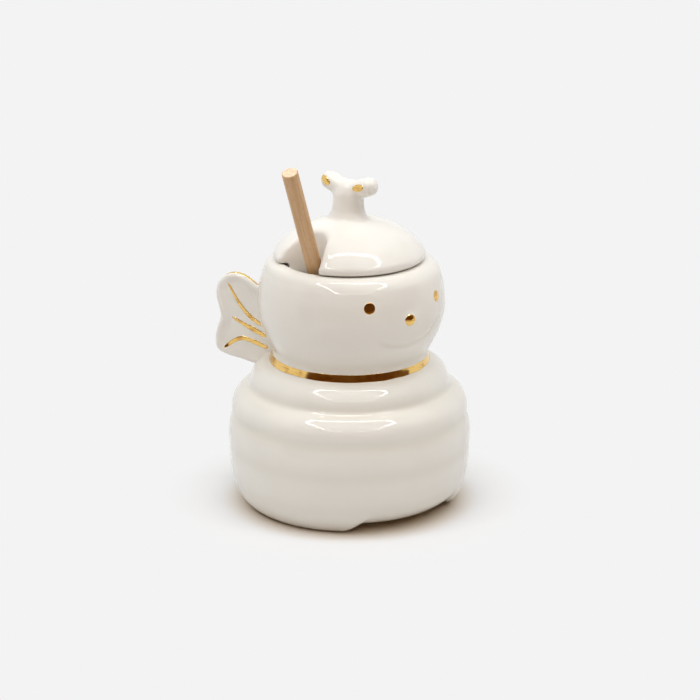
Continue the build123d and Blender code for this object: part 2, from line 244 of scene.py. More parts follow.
def makeGlaze(name, pooling, sheenRange):
    # Transparent gloss glaze over white slip-cast earthenware: a wet, hard shine over a warm white body
    # that goes creamier where the glaze is thick.
    look = glazeLook
    material, tree = newMaterial(name)
    place = addNode(tree, "ShaderNodeTexCoord").outputs["Object"]
    clouds = addNode(tree, "ShaderNodeTexNoise", {
        "Vector": place, "Scale": 1000 / look["cloudSize"], "Detail": 2.0, "Roughness": 0.45}).outputs["Fac"]
    if pooling:
        pool = addNode(tree, "ShaderNodeAttribute", attribute_name="glazeDepth").outputs["Fac"]
    else:
        pool = addNode(tree, "ShaderNodeMath", {0: clouds, 1: 0.5}, operation="MULTIPLY").outputs[0]
    drift = addNode(tree, "ShaderNodeMath", {
        0: clouds, 1: look["cloudDrift"], 2: -look["cloudDrift"] / 2}, operation="MULTIPLY_ADD")
    depth = addNode(tree, "ShaderNodeMath", {0: pool, 1: drift.outputs[0]}, operation="ADD", use_clamp=True)
    ramp = addNode(tree, "ShaderNodeValToRGB", {"Fac": depth.outputs[0]})
    ramp.color_ramp.elements[0].color = linear(look["thin"])
    ramp.color_ramp.elements[1].color = linear(look["pooled"])
    ramp.color_ramp.elements.new(0.5).color = linear(look["body"])
    pins = addNode(tree, "ShaderNodeTexVoronoi", {
        "Vector": place, "Scale": 1000 / look["pinSpacing"], "Randomness": 1.0})
    pinSpot = addNode(tree, "ShaderNodeMapRange", {
        "Value": pins.outputs["Distance"], "From Min": 0.0,
        "From Max": look["pinSize"] / 2 / look["pinSpacing"], "To Min": 1.0, "To Max": 0.0})
    chosen = addNode(tree, "ShaderNodeMath", {
        0: pins.outputs["Color"], 1: look["pinsLeftOut"]}, operation="GREATER_THAN")
    speck = addNode(tree, "ShaderNodeMath", {
        0: pinSpot.outputs[0], 1: chosen.outputs[0]}, operation="MULTIPLY")
    speckShare = addNode(tree, "ShaderNodeMath", {
        0: speck.outputs[0], 1: look["pinShare"]}, operation="MULTIPLY")
    colour = addNode(tree, "ShaderNodeMix", {
        "Factor": speckShare.outputs[0], "A": ramp.outputs["Color"], "B": linear(look["pinColour"])},
        data_type="RGBA")
    sheen = addNode(tree, "ShaderNodeMapRange", {
        "Value": clouds, "From Min": 0.3, "From Max": 0.7, "To Min": sheenRange[0], "To Max": sheenRange[1]})
    peel = addNode(tree, "ShaderNodeTexNoise", {
        "Vector": place, "Scale": 1000 / look["peelSize"], "Detail": 1.0, "Roughness": 0.4})
    wave = addNode(tree, "ShaderNodeBump", {
        "Height": peel.outputs["Fac"], "Strength": 0.35, "Distance": look["peelDepth"] / 1000})
    dimple = addNode(tree, "ShaderNodeBump", {
        "Height": speck.outputs[0], "Strength": 0.4, "Distance": 0.0001, "Normal": wave.outputs[0]},
        invert=True)
    shader = addNode(tree, "ShaderNodeBsdfPrincipled", {
        "Base Color": colour.outputs["Result"], "Roughness": sheen.outputs[0], "IOR": 1.52,
        "Normal": dimple.outputs[0]})
    addNode(tree, "ShaderNodeOutputMaterial", {"Surface": shader.outputs[0]})
    return material


clayLook = {
    "pale": "#EFE8DA",
    "dark": "#D9CDB8",
    "gritSize": 0.7,  # mm
}


def makeBareClay():
    # Fired earthenware left unglazed, so that the feet don't stick to the kiln shelf: chalky and matt.
    material, tree = newMaterial("bareEarthenware")
    place = addNode(tree, "ShaderNodeTexCoord").outputs["Object"]
    grit = addNode(tree, "ShaderNodeTexNoise", {
        "Vector": place, "Scale": 1000 / clayLook["gritSize"], "Detail": 3.0}).outputs["Fac"]
    ramp = addNode(tree, "ShaderNodeValToRGB", {"Fac": grit})
    ramp.color_ramp.elements[0].color = linear(clayLook["dark"])
    ramp.color_ramp.elements[1].color = linear(clayLook["pale"])
    bump = addNode(tree, "ShaderNodeBump", {"Height": grit, "Strength": 0.5, "Distance": 0.0001})
    shader = addNode(tree, "ShaderNodeBsdfPrincipled", {
        "Base Color": ramp.outputs["Color"], "Roughness": 0.85, "IOR": 1.5, "Normal": bump.outputs[0]})
    addNode(tree, "ShaderNodeOutputMaterial", {"Surface": shader.outputs[0]})
    return material


lustreLook = {
    "full": "#EEC878",
    "thin": "#CE9A50",  # where the brush ran dry
    "strokeWidth": 0.35,  # mm, trails of the brush
    "strokeLength": 6.0,
    "patchSize": 3.5,
}


def makeLustre():
    # Bright gold lustre, brushed on and fired over the glaze: a mirror of gold with faint brush trails,
    # thinner and browner where the brush ran dry.
    look = lustreLook
    material, tree = newMaterial("goldLustre")
    place = addNode(tree, "ShaderNodeTexCoord").outputs["Object"]
    length, width = 1000 / look["strokeLength"], 1000 / look["strokeWidth"]
    along = addNode(tree, "ShaderNodeMapping", {"Vector": place, "Scale": (length, length, width)})
    trails = addNode(tree, "ShaderNodeTexNoise", {
        "Vector": along.outputs[0], "Scale": 1.0, "Detail": 2.0}).outputs["Fac"]
    patches = addNode(tree, "ShaderNodeTexNoise", {
        "Vector": place, "Scale": 1000 / look["patchSize"], "Detail": 3.0}).outputs["Fac"]
    both = addNode(tree, "ShaderNodeMath", {0: trails, 1: patches}, operation="MULTIPLY")
    ramp = addNode(tree, "ShaderNodeValToRGB", {"Fac": both.outputs[0]})
    for stop, position, colour in zip(ramp.color_ramp.elements, (0.12, 0.26), (look["thin"], look["full"])):
        stop.position = position
        stop.color = linear(colour)
    rough = addNode(tree, "ShaderNodeMapRange", {
        "Value": patches, "From Min": 0.3, "From Max": 0.7, "To Min": 0.07, "To Max": 0.16})
    bump = addNode(tree, "ShaderNodeBump", {"Height": trails, "Strength": 0.25, "Distance": 0.00003})
    shader = addNode(tree, "ShaderNodeBsdfPrincipled", {
        "Base Color": ramp.outputs["Color"], "Metallic": 1.0, "Roughness": rough.outputs[0],
        "Normal": bump.outputs[0]})
    addNode(tree, "ShaderNodeOutputMaterial", {"Surface": shader.outputs[0]})
    return material


beechLook = {
    "pale": "#D9B68C",
    "body": "#C79E70",
    "dark": "#A67C50",
    "endPale": "#F0DCC0",
    "endBody": "#E3C6A2",
    "grainWidth": 0.7,  # mm, between the lines of the grain
    "grainRate": 28.0,  # changes of tone to a metre along it
    "fleckWidth": 0.25,
    "fleckLength": 2.5,
    "ringSize": 1.1,  # mm, on the sawn end
    "poreSpacing": 0.5,
}


def makeBeech(name, turn, endGrain):
    # Plain beech dowel, sanded and left bare: fine straight grain with short dark flecks, dull with a faint
    # sheen; its sawn end is paler and dotted with pores.
    look = beechLook
    material, tree = newMaterial(name)
    place = addNode(tree, "ShaderNodeTexCoord").outputs["Object"]
    upright = addNode(tree, "ShaderNodeMapping", {
        "Vector": place, "Rotation": turn.inverted().to_euler()}).outputs[0]
    if endGrain:
        rings = addNode(tree, "ShaderNodeTexNoise", {
            "Vector": upright, "Scale": 1000 / look["ringSize"], "Detail": 3.0}).outputs["Fac"]
        pores = addNode(tree, "ShaderNodeTexVoronoi", {
            "Vector": upright, "Scale": 1000 / look["poreSpacing"]})
        fleck = addNode(tree, "ShaderNodeMapRange", {
            "Value": pores.outputs["Distance"], "From Min": 0.1, "From Max": 0.3,
            "To Min": 0.35, "To Max": 0.0})
        colours = (look["endBody"], look["endPale"])
    else:
        across = 1000 / look["grainWidth"]
        long = addNode(tree, "ShaderNodeMapping", {
            "Vector": upright, "Scale": (across, across, look["grainRate"])})
        rings = addNode(tree, "ShaderNodeTexNoise", {
            "Vector": long.outputs[0], "Scale": 1.0, "Detail": 3.0, "Roughness": 0.6}).outputs["Fac"]
        across = 1000 / look["fleckWidth"]
        short = addNode(tree, "ShaderNodeMapping", {
            "Vector": upright, "Scale": (across, across, 1000 / look["fleckLength"])})
        flecks = addNode(tree, "ShaderNodeTexNoise", {
            "Vector": short.outputs[0], "Scale": 1.0, "Detail": 1.0})
        fleck = addNode(tree, "ShaderNodeMapRange", {
            "Value": flecks.outputs["Fac"], "From Min": 0.6, "From Max": 0.72,
            "To Min": 0.0, "To Max": 0.6})
        colours = (look["body"], look["pale"])
    ramp = addNode(tree, "ShaderNodeValToRGB", {"Fac": rings})
    for stop, position, colour in zip(ramp.color_ramp.elements, (0.35, 0.65), colours):
        stop.position = position
        stop.color = linear(colour)
    colour = addNode(tree, "ShaderNodeMix", {
        "Factor": fleck.outputs[0], "A": ramp.outputs["Color"], "B": linear(look["dark"])}, data_type="RGBA")
    bump = addNode(tree, "ShaderNodeBump", {"Height": rings, "Strength": 0.3, "Distance": 0.00008})
    shader = addNode(tree, "ShaderNodeBsdfPrincipled", {
        "Base Color": colour.outputs["Result"], "Roughness": 0.55, "IOR": 1.5, "Normal": bump.outputs[0]})
    addNode(tree, "ShaderNodeOutputMaterial", {"Surface": shader.outputs[0]})
    return material


potGlaze = makeGlaze("glossGlazePooled", True, glazeLook["potSheen"])
plainGlaze = makeGlaze("glossGlaze", False, glazeLook["plainSheen"])
wornGlaze = makeGlaze("glossGlazeWorn", False, glazeLook["wornSheen"])  # on the knob, dulled by fingers
bareClay = makeBareClay()
lustre = makeLustre()
print("materials made")

# The pot: belly, neck and head turned in one, hollow, then worked by hand. Outlines are of (radius, height).

potShape = {
    "steps": 360,
    "ribs": [
        ((39.5, 0.0), (45.0, 5.25), (46.8, 11.0)),
        ((46.8, 11.0), (48.1, 18.0), (47.9, 24.8)),
        ((47.9, 24.8), (48.6, 31.2), (46.9, 37.4)),
        ((46.9, 37.4), (46.6, 43.8), (40.0, 49.2)),
        ((40.0, 49.2), (38.7, 54.9), (32.2, 59.4)),
    ],
    "ribSpacing": 0.8,
    "crisp": 5,  # passes of wear where the ribs stayed crisp
    "crispFoot": (3.0, 8.0),  # heights over which they lose that from the foot up
    "crispAbove": (26.0, 42.0),  # and over which they gain it again
    "melted": 30,  # passes of wear on the rest
    "meltShare": 0.8,
    "meltedSwell": 0.25,  # mm, what they gained in width there
    "footEdge": (40.25, 0.9),
    "head": [
        (32.2, 59.4), (32.05, 59.9), (31.7, 61.0), (31.35, 62.1), (31.0, 63.2), (30.8, 64.0), (31.2, 65.0),
        (32.4, 67.4), (33.9, 70.4), (35.25, 73.4), (36.25, 76.4), (36.95, 79.3), (37.3, 82.2), (37.35, 85.1),
        (37.1, 88.2), (36.7, 91.1), (36.0, 93.9), (35.1, 96.6), (33.8, 98.9), (32.2, 100.4), (30.3, 101.2),
        (28.4, 101.35),
    ],
    "rim": [(28.4, 101.35), (27.1, 101.0), (26.4, 100.1), (26.3, 98.8)],
    "inside": [
        (26.3, 98.8), (26.6, 97.4), (28.6, 95.9), (31.2, 93.2), (32.9, 89.0), (33.2, 84.0), (32.6, 78.5),
        (30.8, 72.8), (28.3, 68.0), (26.7, 64.2), (26.9, 60.5), (29.3, 57.2), (33.6, 52.8), (37.2, 47.8),
        (40.6, 43.0), (43.2, 37.0), (44.4, 31.0), (44.3, 24.5), (43.9, 18.0), (42.8, 13.0), (40.6, 10.2),
        (36.5, 9.1), (30.0, 9.0), (15.0, 9.0), (0.0, 9.0),
    ],
    "underside": [
        (0.0, 4.5), (15.0, 4.5), (29.4, 4.5), (30.7, 4.1), (31.0, 2.6), (31.2, 1.0), (32.0, 0.15),
        (33.2, 0.0), (38.7, 0.0), (39.8, 0.4),
    ],
    "archFoot": 27.2,  # half width of the arch on the table
    "archTop": 20.0,
    "archHeight": 3.5,
    "archReach": 14.0,  # how high up the wall it is felt
    "hollowEdge": 31.6,  # radius of the hollow under the foot
    "neck": 64.2,
    "creaseReach": 2.4,  # how far the glaze pools round the neck and the creases between the ribs
    "mouth": 25.5,  # just inside the narrowest radius of the inside
    "face": (66.0, 96.0),  # heights between which it is worked
    "headLean": (0.6, -0.47),  # the head sits a little off the belly's axis
    "leanNeck": (60.0, 66.0),  # heights over which it starts
    "leanRim": (97.0, 101.0),  # and over which it ends, so that the rim stays true
    "untrue": 0.22,  # mm, how far the walls wander
    "untrueSize": 26.0,
}
smileShape = {"halfWidth": 16.0, "drop": 9.0, "middleHeight": 82.7, "depth": 0.42, "width": 0.9}
noseShape = {"height": 84.6, "bump": 1.15, "bumpReach": 2.8}


def smileDepth(x, z):
    # how deep the smile's groove is at a place seen from the front
    wide, drop, height = smileShape["halfWidth"], smileShape["drop"], smileShape["middleHeight"]
    u, v = x / wide, (z - height) / drop
    reach = math.hypot(u, v)
    if z > height + 1.0 or reach < 0.4 or reach > 1.6:
        return 0.0
    gap = (reach - 1) * reach / math.hypot(u / wide, v / drop)
    fade = max(0.0, blend(x, -14.0, -9.0) - blend(z, height - 4.0, height + 0.5))
    return smileShape["depth"] * math.exp(-(gap / smileShape["width"]) ** 2) * fade


def innerRadius(z):
    # radius of the pot's inside at a height
    line = potShape["inside"]
    for (r1, z1), (r2, z2) in zip(line, line[1:]):
        if z2 <= z <= z1 and z1 > z2:
            return r2 + (r1 - r2) * (z - z2) / (z1 - z2)
    return 0.0


def ribLine():
    # the ribs in profile; the low ones have melted into the wall more than the high ones
    line = []
    for rib in potShape["ribs"]:
        line += arcLine(*rib, potShape["ribSpacing"])
    line += [potShape["ribs"][-1][2]]
    crisp, melted = softened(line, potShape["crisp"]), softened(line, potShape["melted"])
    foot, above = potShape["crispFoot"], potShape["crispAbove"]
    shares = [1 + potShape["meltShare"] * (blend(z, *above) - blend(z, *foot)) for _, z in line]
    swell = potShape["meltedSwell"]
    line = [(r1 * share + (r2 + swell) * (1 - share), z1 * share + z2 * (1 - share))
            for (r1, z1), (r2, z2), share in zip(crisp, melted, shares)]
    return [potShape["footEdge"]] + line[1:]


def potSkin():
    underside, inside = curveLine(potShape["underside"], 1.2), curveLine(potShape["inside"], 2.4)
    head, rim = curveLine(potShape["head"], 0.55), curveLine(potShape["rim"], 0.6)
    bm = spun(underside + ribLine() + head[1:] + rim[1:] + inside[1:], potShape["steps"])
    depthLayer = bm.verts.layers.float.new("glazeDepth")
    floor, lip = potShape["inside"][-1][1], potShape["inside"][0][1]
    creases = [rib[0][1] for rib in potShape["ribs"][1:]] + [potShape["neck"]]
    for vert in bm.verts:
        x, y, z = vert.co
        radius = math.hypot(x, y)
        within = floor <= z <= lip and radius < innerRadius(z) + 1.5
        outside = radius > potShape["mouth"] and not within
        # the arch, pressed up out of the foot from front to back
        lift = potShape["archHeight"] * (1 - blend(abs(x), potShape["archTop"], potShape["archFoot"]))
        if radius <= potShape["hollowEdge"]:
            z = max(z, lift)
        elif outside and z < potShape["archReach"]:
            z += lift * (1 - blend(z, 0.0, potShape["archReach"]))
        # the smile, and the swelling that carries the nose
        onFace = outside and y < -15 and potShape["face"][0] < z < potShape["face"][1]
        if onFace:
            away = math.hypot(x, z - noseShape["height"])
            push = noseShape["bump"] * math.exp(-(away / noseShape["bumpReach"]) ** 2) - smileDepth(x, z)
            x, y = x * (1 + push / radius), y * (1 + push / radius)
        # the head's lean
        share = blend(z, *potShape["leanNeck"]) * (1 - blend(z, *potShape["leanRim"]))
        x += potShape["headLean"][0] * share
        y += potShape["headLean"][1] * share
        vert.co = (x, y, max(z, 0.0))
        pooled = 0.5
        if outside:
            gap = min(abs(z - crease) for crease in creases)
            pooled = math.exp(-(gap / potShape["creaseReach"]) ** 2)
        pooled *= 0.35 + 0.65 * blend(z, 12.0, 40.0)
        if onFace:
            pooled = max(pooled, smileDepth(x, z) / smileShape["depth"])
        vert[depthLayer] = 0.35 + 0.35 * pooled
    # a trace of hand finishing: the walls aren't quite true
    for vert in bm.verts:
        height, flat = vert.co.z, Vector((vert.co.x, vert.co.y, 0))
        if flat.length > 20:
            share = blend(height, 8, 16) * (1 - blend(height, 96, 100))
            wander = noise.noise(vert.co / potShape["untrueSize"]) * potShape["untrue"]
            vert.co += flat.normalized() * (wander * share)
    for face in bm.faces:
        middle = face.calc_center_median()
        if middle.z < 0.12 and middle.xy.length > potShape["hollowEdge"] - 0.1:
            face.material_index = 1
    return bm


potMesh = potSkin()
potTree = BVHTree.FromBMesh(potMesh)
finished(potMesh, "pot", "pot", [potGlaze, bareClay], ["pot_foot", "pot_belly", "pot_head"])

# The wings: thick radial plates, dished in front, rounded all over

wingShape = {
    "angle": 35.0,
    "thickness": 4.6,
    "outline": [
        (28.0, 53.0), (38.0, 53.3), (45.0, 55.0), (52.0, 56.5), (55.6, 58.6), (56.4, 63.0), (55.2, 68.5),
        (53.9, 72.6), (54.9, 77.2), (55.8, 82.0), (54.4, 87.4), (50.0, 90.8), (45.6, 90.9), (42.0, 89.4),
        (38.8, 87.1), (33.5, 84.5), (28.0, 82.0),
    ],
    "rim": 2.6,
    "dish": 0.8,
    "backDish": 0.25,
    "flare": 1.2,  # the fillet of glaze where it meets the head
    "root": (36.5, 76.0),  # where it meets the widest part of the head
    "rootSlope": 0.4,
    "voxel": 0.5,
    "melt": 14,  # passes of wear all over, and after it is dished
    "settle": 4,
}
wingOutline = curveLine(wingShape["outline"], 1.0)


def edgeGap(u, v):
    # distance from a place on the wing to its free edge
    place = Vector((u, v))
    best = math.inf
    for a, b in zip(wingOutline, wingOutline[1:]):
        a, b = Vector(a), Vector(b)
        run = b - a
        t = min(1.0, max(0.0, (place - a).dot(run) / max(run.dot(run), 1e-9)))
        best = min(best, (place - (a + run * t)).length)
    return best


def wingFrame(side):
    # the wing's own directions: out along it, up, and forward out of its dished face
    out = turned(90 + side * wingShape["angle"])
    return out, Vector((0, 0, 1)), Vector((-out.y, out.x, 0)) * side


def wingSkin(place):
    bm = bmesh.new()
    half, rim = wingShape["thickness"] / 2, wingShape["rim"]
    bm.faces.new([bm.verts.new((u, v, -half)) for u, v in wingOutline])
    bmesh.ops.translate(bm, verts=grown(bm), vec=(0, 0, wingShape["thickness"]))
    bmesh.ops.recalc_face_normals(bm, faces=bm.faces)
    bm = fused(bm, wingShape["voxel"], wingShape["melt"])
    rootReach, rootHeight = wingShape["root"]
    for vert in bm.verts:
        u, v, w = vert.co
        if abs(w) > half * 0.55:
            inner = blend(edgeGap(u, v), rim * 0.45, rim * 1.7)
            w -= inner * (wingShape["dish"] if w > 0 else -wingShape["backDish"])
        root = rootReach - wingShape["rootSlope"] * abs(v - rootHeight)
        w *= 1 + wingShape["flare"] / half * (1 - blend(u, root - 1.0, root + 3.2))
        vert.co = (u, v, w)
    smoothed(bm, bm.verts, wingShape["settle"])
    bmesh.ops.transform(bm, matrix=place, verts=bm.verts)
    bmesh.ops.recalc_face_normals(bm, faces=bm.faces)
    return bm


# How the gold lies on the glaze, in mm: proud of it, thinning out at its edge, and let in below
goldShape = {"rise": 0.05, "edgeRise": 0.01, "strokeSink": 0.3, "dotSink": 0.35}


def gilded(bm, tree, direction, sink):
    # lays a flat patch on the skin behind it and gives it body
    for vert in bm.verts:
        hit, normal, _, _ = tree.ray_cast(vert.co, direction)
        if hit is None:
            hit, normal, _, _ = tree.find_nearest(vert.co)
        if normal.dot(direction) > 0:
            normal = -normal
        vert.co = hit + normal * goldShape["edgeRise" if vert.is_boundary else "rise"]
    bm.normal_update()
    bmesh.ops.translate(bm, verts=grown(bm), vec=direction * sink)
    bmesh.ops.recalc_face_normals(bm, faces=bm.faces)
    return bm


# Strokes of a wing: the points it is drawn through, in reach and height, and its widths there
wingStrokes = [
    ([(50.4, 86.6), (48.0, 82.0), (45.2, 77.6), (41.6, 73.6), (36.8, 70.2)], (0.9, 1.15, 1.5, 1.75, 1.6)),
    ([(49.0, 72.6), (44.5, 70.2), (39.5, 67.8), (34.6, 65.4)], (0.8, 1.6, 2.1, 1.7)),
    ([(52.4, 59.4), (48.2, 62.6), (44.4, 63.9), (39.0, 62.6), (33.8, 60.6)], (1.2, 1.6, 1.7, 1.9, 1.5)),
]
brushShape = {
    "spacing": 0.5,
    "waver": 0.13,
    "waverSize": 1.7,
    "tip": 2.5,  # steps over which a stroke runs out
}
wingRimStroke = {
    "points": [(52.0, 90.0), (48.0, 91.4), (44.0, 90.6), (40.0, 88.4), (37.0, 86.4)],
    "width": 1.7,
    "forward": 0.5,
}


def addStroke(bm, points, widths, place):
    # a brush stroke as a flat ribbon before the wing, tapering at its ends
    line = curveLine(points, brushShape["spacing"])
    last = len(line) - 1
    rows = []
    for i, (u, v) in enumerate(line):
        along = (Vector(line[min(i + 1, last)]) - Vector(line[max(i - 1, 0)])).normalized()
        t = i / last * (len(widths) - 1)
        k = min(int(t), len(widths) - 2)
        width = widths[k] + (widths[k + 1] - widths[k]) * (t - k)
        width *= 1 + brushShape["waver"] * noise.noise(Vector((u, v, 3.0)) / brushShape["waverSize"])
        width *= math.sqrt(min(1.0, 0.12 + min(i, last - i) / brushShape["tip"]))
        rows.append([bm.verts.new(place @ Vector((u - along.y * width * s, v + along.x * width * s, 12.0)))
                     for s in (-0.5, -0.35, -0.12, 0.12, 0.35, 0.5)])
    bridged(bm, rows)


def rimStroke(out, up, front):
    # the stroke over the wing's upper edge, as a ribbon above it
    bm = bmesh.new()
    line = curveLine(wingRimStroke["points"], brushShape["spacing"])
    rows = []
    for i, (u, v) in enumerate(line):
        taper = math.sin(math.pi * min(1.0, 0.12 + 0.9 * i / (len(line) - 1))) ** 0.5
        width = wingRimStroke["width"] * taper
        rows.append([bm.verts.new(out * u + up * (v + 6) + front * (wingRimStroke["forward"] + width * s))
                     for s in (-0.5, -0.2, 0.2, 0.5)])
    bridged(bm, rows)
    return bm


for side, name in ((1, "right"), (-1, "left")):
    out, up, front = wingFrame(side)
    place = Matrix((out, up, front)).transposed().to_4x4()
    wingMesh = wingSkin(place)
    wingTree = BVHTree.FromBMesh(wingMesh)
    finished(wingMesh, "wing_" + name + "_glazed", "pot", [plainGlaze], ["wing_" + name])
    strokes = bmesh.new()
    for points, widths in wingStrokes:
        addStroke(strokes, points, widths, place)
    gilded(strokes, wingTree, -front, goldShape["strokeSink"])
    joined(strokes, gilded(rimStroke(out, up, front), wingTree, -up, goldShape["strokeSink"]))
    finished(strokes, "wing_strokes_" + name, "pot", [lustre], ["wing_veins_" + name])

# Gold on the pot: the neck's band, the eyes and the nose

bandShape = {
    "low": 59.6,
    "high": 62.4,
    "steps": 300,
    "rows": (0.0, 0.03, 0.2, 0.4, 0.6, 0.8, 0.97, 1.0),  # shares of its height
    "lowWaver": 0.35,  # mm, of its edges, left by the brush
    "highWaver": 0.12,
    "waverRate": 4.5,
}
castFrom = 60.0  # mm from the axis, outside everything that is gilded


def bandSkin():
    low, high = bandShape["low"], bandShape["high"]
    middle, half = (low + high) / 2, (high - low) / 2
    bm = bmesh.new()
    verts = [bm.verts.new((castFrom, 0, low + (high - low) * share)) for share in bandShape["rows"]]
    edges = [bm.edges.new(pair) for pair in zip(verts, verts[1:])]
    bmesh.ops.spin(bm, geom=verts + edges, cent=(0, 0, 0), axis=(0, 0, 1), angle=2 * math.pi,
                   steps=bandShape["steps"], use_merge=True)
    bmesh.ops.remove_doubles(bm, verts=bm.verts, dist=0.002)
    for vert in bm.verts:
        around = Vector((vert.co.x, vert.co.y, 0)).normalized()
        lower = vert.co.z < middle
        waver = noise.noise(around * bandShape["waverRate"] + Vector((0, 0, 5 if lower else 9)))
        waver *= bandShape["lowWaver" if lower else "highWaver"] * abs(vert.co.z - middle) / half
        hit, normal, _, _ = potTree.ray_cast(around * castFrom + Vector((0, 0, vert.co.z + waver)), -around)
        vert.co = hit + normal * goldShape["rise"]
    for vert in grown(bm):
        vert.co -= Vector((vert.co.x, vert.co.y, 0)).normalized() * goldShape["strokeSink"]
    bmesh.ops.recalc_face_normals(bm, faces=bm.faces)
    return bm


finished(bandSkin(), "neck_band_gilt", "pot", [lustre], ["neck_band"])


def ovalSheet(long, short):
    # a flat oval sheet of small quads, drawn from a square one
    bm = bmesh.new()
    bmesh.ops.create_grid(bm, x_segments=20, y_segments=20, size=1.0)
    for vert in bm.verts:
        x, y, _ = vert.co
        vert.co = (x * math.sqrt(1 - y * y / 2) * long, y * math.sqrt(1 - x * x / 2) * short, 0)
    return bm


# The dots: radius, height, heading from the front, and how tall for their width
goldDots = {
    "eye_right": (2.25, 91.0, -25.9, 1.0),
    "eye_left": (2.25, 90.1, 27.0, 1.0),
    "nose": (2.35, noseShape["height"], 0.0, 0.95),
}


def dotSkin(radius, height, angle, squeeze):
    # a round dot of gold on the head, painted by hand and so not quite round
    look = turned(-90 + angle)
    across = Vector((-look.y, look.x, 0))
    bm = ovalSheet(radius, radius * squeeze)
    for vert in bm.verts:
        wobble = 1 + 0.035 * noise.noise(Vector((vert.co.x, vert.co.y, angle)) / radius * 1.3)
        x, y = vert.co.x * wobble, vert.co.y * wobble
        vert.co = across * x + Vector((0, 0, height + y)) + look * castFrom
    return gilded(bm, potTree, -look, goldShape["dotSink"])


for name, dot in goldDots.items():
    finished(dotSkin(*dot), name + "_gilt", "pot", [lustre], [name])

# The lid with its antenna knob: one glazed skin

lidShape = {
    "seat": 101.7,
    "outer": [
        (25.6, 97.2), (25.6, 101.3), (26.2, 101.7), (29.2, 101.75), (29.9, 102.2), (30.2, 103.0),
        (30.0, 104.2), (29.3, 105.4), (27.6, 107.4), (25.2, 109.6), (21.8, 112.0), (17.8, 114.2),
        (13.2, 116.1), (8.4, 117.4), (4.0, 118.1), (0.0, 118.25),
    ],
    "flangeFoot": [(0.0, 96.8), (12.0, 96.8), (24.9, 96.8), (25.6, 97.2)],
    "hollow": [
        (0.0, 90.0), (23.2, 90.0), (23.3, 97.0), (23.5, 101.7), (23.7, 104.4), (21.6, 107.6), (17.2, 110.9),
        (12.0, 113.3), (6.0, 114.9), (0.0, 115.3),
    ],
    "wall": 2.8,
    "notchTurn": 186.3,
    "sides": 160,
    "hollowSides": 120,
    "voxel": 0.45,
    "melt": 8,  # passes of wear all over
}
notchShape = {
    "centre": 22.9,
    "round": 6.9,
    "flare": 31.0,
    "draft": 3.0,
    "steps": 28,
    "shelf": 3.4,  # how the wall is cut back for the dipper, below the seat
    "shelfSide": 4.6,
    "skirt": 2.9,
    "wornFrom": 12.5,  # where its lips are worn: out along its heading, up, and round its centre
    "wornAbove": 104.2,
    "wornReach": 13.5,
    "wear": 44,
}


def notchOutline(spread):
    # the notch seen from above, as points in the lid's plane with +X along its heading
    around = notchShape["round"] + spread
    turn = math.radians(notchShape["flare"])
    points = []
    for i in range(notchShape["steps"] + 1):
        a = math.pi / 2 + turn + (math.pi - 2 * turn) * i / notchShape["steps"]
        points.append((notchShape["centre"] + around * math.cos(a), around * math.sin(a)))
    reach = 50.0  # well outside the lid
    wide = points[0][1] + (reach - points[0][0]) * math.tan(turn)
    return [(reach, wide)] + points + [(reach, -wide)]


def notchCutter(low, high, spread, draft, aside=0.0):
    # the notch as a solid between two heights, wider all round by a spread at the seat
    bm = bmesh.new()
    slope = math.tan(math.radians(draft))
    rows = []
    for height in (low, high):
        outline = notchOutline(spread + (height - lidShape["seat"]) * slope)
        rows.append([bm.verts.new((x, y + aside, height)) for x, y in outline])
    for row in rows:
        bm.faces.new(row)
    bridged(bm, rows, closed=True)
    bmesh.ops.recalc_face_normals(bm, faces=bm.faces)
    bmesh.ops.rotate(bm, verts=bm.verts, cent=(0, 0, 0),
                     matrix=Matrix.Rotation(math.radians(lidShape["notchTurn"]), 3, "Z"))
    return bm


knobShape = {
    "turn": 285.5,
    "stem": [  # half length, half width and height of its ovals
        (9.6, 8.2, 116.6), (8.0, 6.6, 118.6), (6.9, 5.6, 121.0), (6.6, 5.2, 124.5), (6.6, 5.0, 128.4),
    ],
    "sides": 40,
    "offset": (-0.35, 0.28),  # the stem isn't quite in the middle of the lid
    "waist": 121.0,
    "root": (128.2, 5.0),  # height and radius of the lump where it parts
    "reach": 9.4,
    "climb": 3.2,
    "radius": 3.85,
    "steps": 20,
    "wear": 12,
}


def addKnob(bm):
    # an oval stem that parts into two stubby antennae
    shape = knobShape
    along, side = turned(shape["turn"]), turned(shape["turn"] + 90)
    rings = []
    for long, short, height in shape["stem"]:
        circle = bmesh.ops.create_circle(bm, radius=1.0, segments=shape["sides"])["verts"]
        centre = Vector((*shape["offset"], height))
        for vert in circle:
            vert.co = along * (vert.co.x * long) + side * (vert.co.y * short) + centre
        rings.append(circle)
    bridged(bm, rings, closed=True)
    bm.faces.new(rings[0])
    bm.faces.new(rings[-1])
    rootHeight, rootRadius = shape["root"]
    blobs = [(Vector((0, 0, rootHeight)), rootRadius)]
    for sign in (1, -1):
        for step in range(1, shape["steps"] + 1):
            share = step / shape["steps"]
            centre = along * (sign * shape["reach"] * share)
            centre.z = rootHeight + shape["climb"] * share
            blobs.append((centre, shape["radius"] * (0.97 + 0.03 * share)))
    for centre, radius in blobs:
        bmesh.ops.create_icosphere(bm, subdivisions=4, radius=radius, matrix=Matrix.Translation(centre))
    bmesh.ops.recalc_face_normals(bm, faces=bm.faces)


def wearLips(bm):
    # the notch's lips are worn rounder than the rest
    shape = notchShape
    out = turned(lidShape["notchTurn"])
    centre = out * shape["centre"]
    for _ in range(shape["wear"]):
        near = []
        for vert in bm.verts:
            away = (vert.co - centre).xy.length
            high, far = vert.co.z > shape["wornAbove"], vert.co.dot(out) > shape["wornFrom"]
            if high and far and away < shape["wornReach"]:
                near.append(vert)
        smoothed(bm, near, 1)


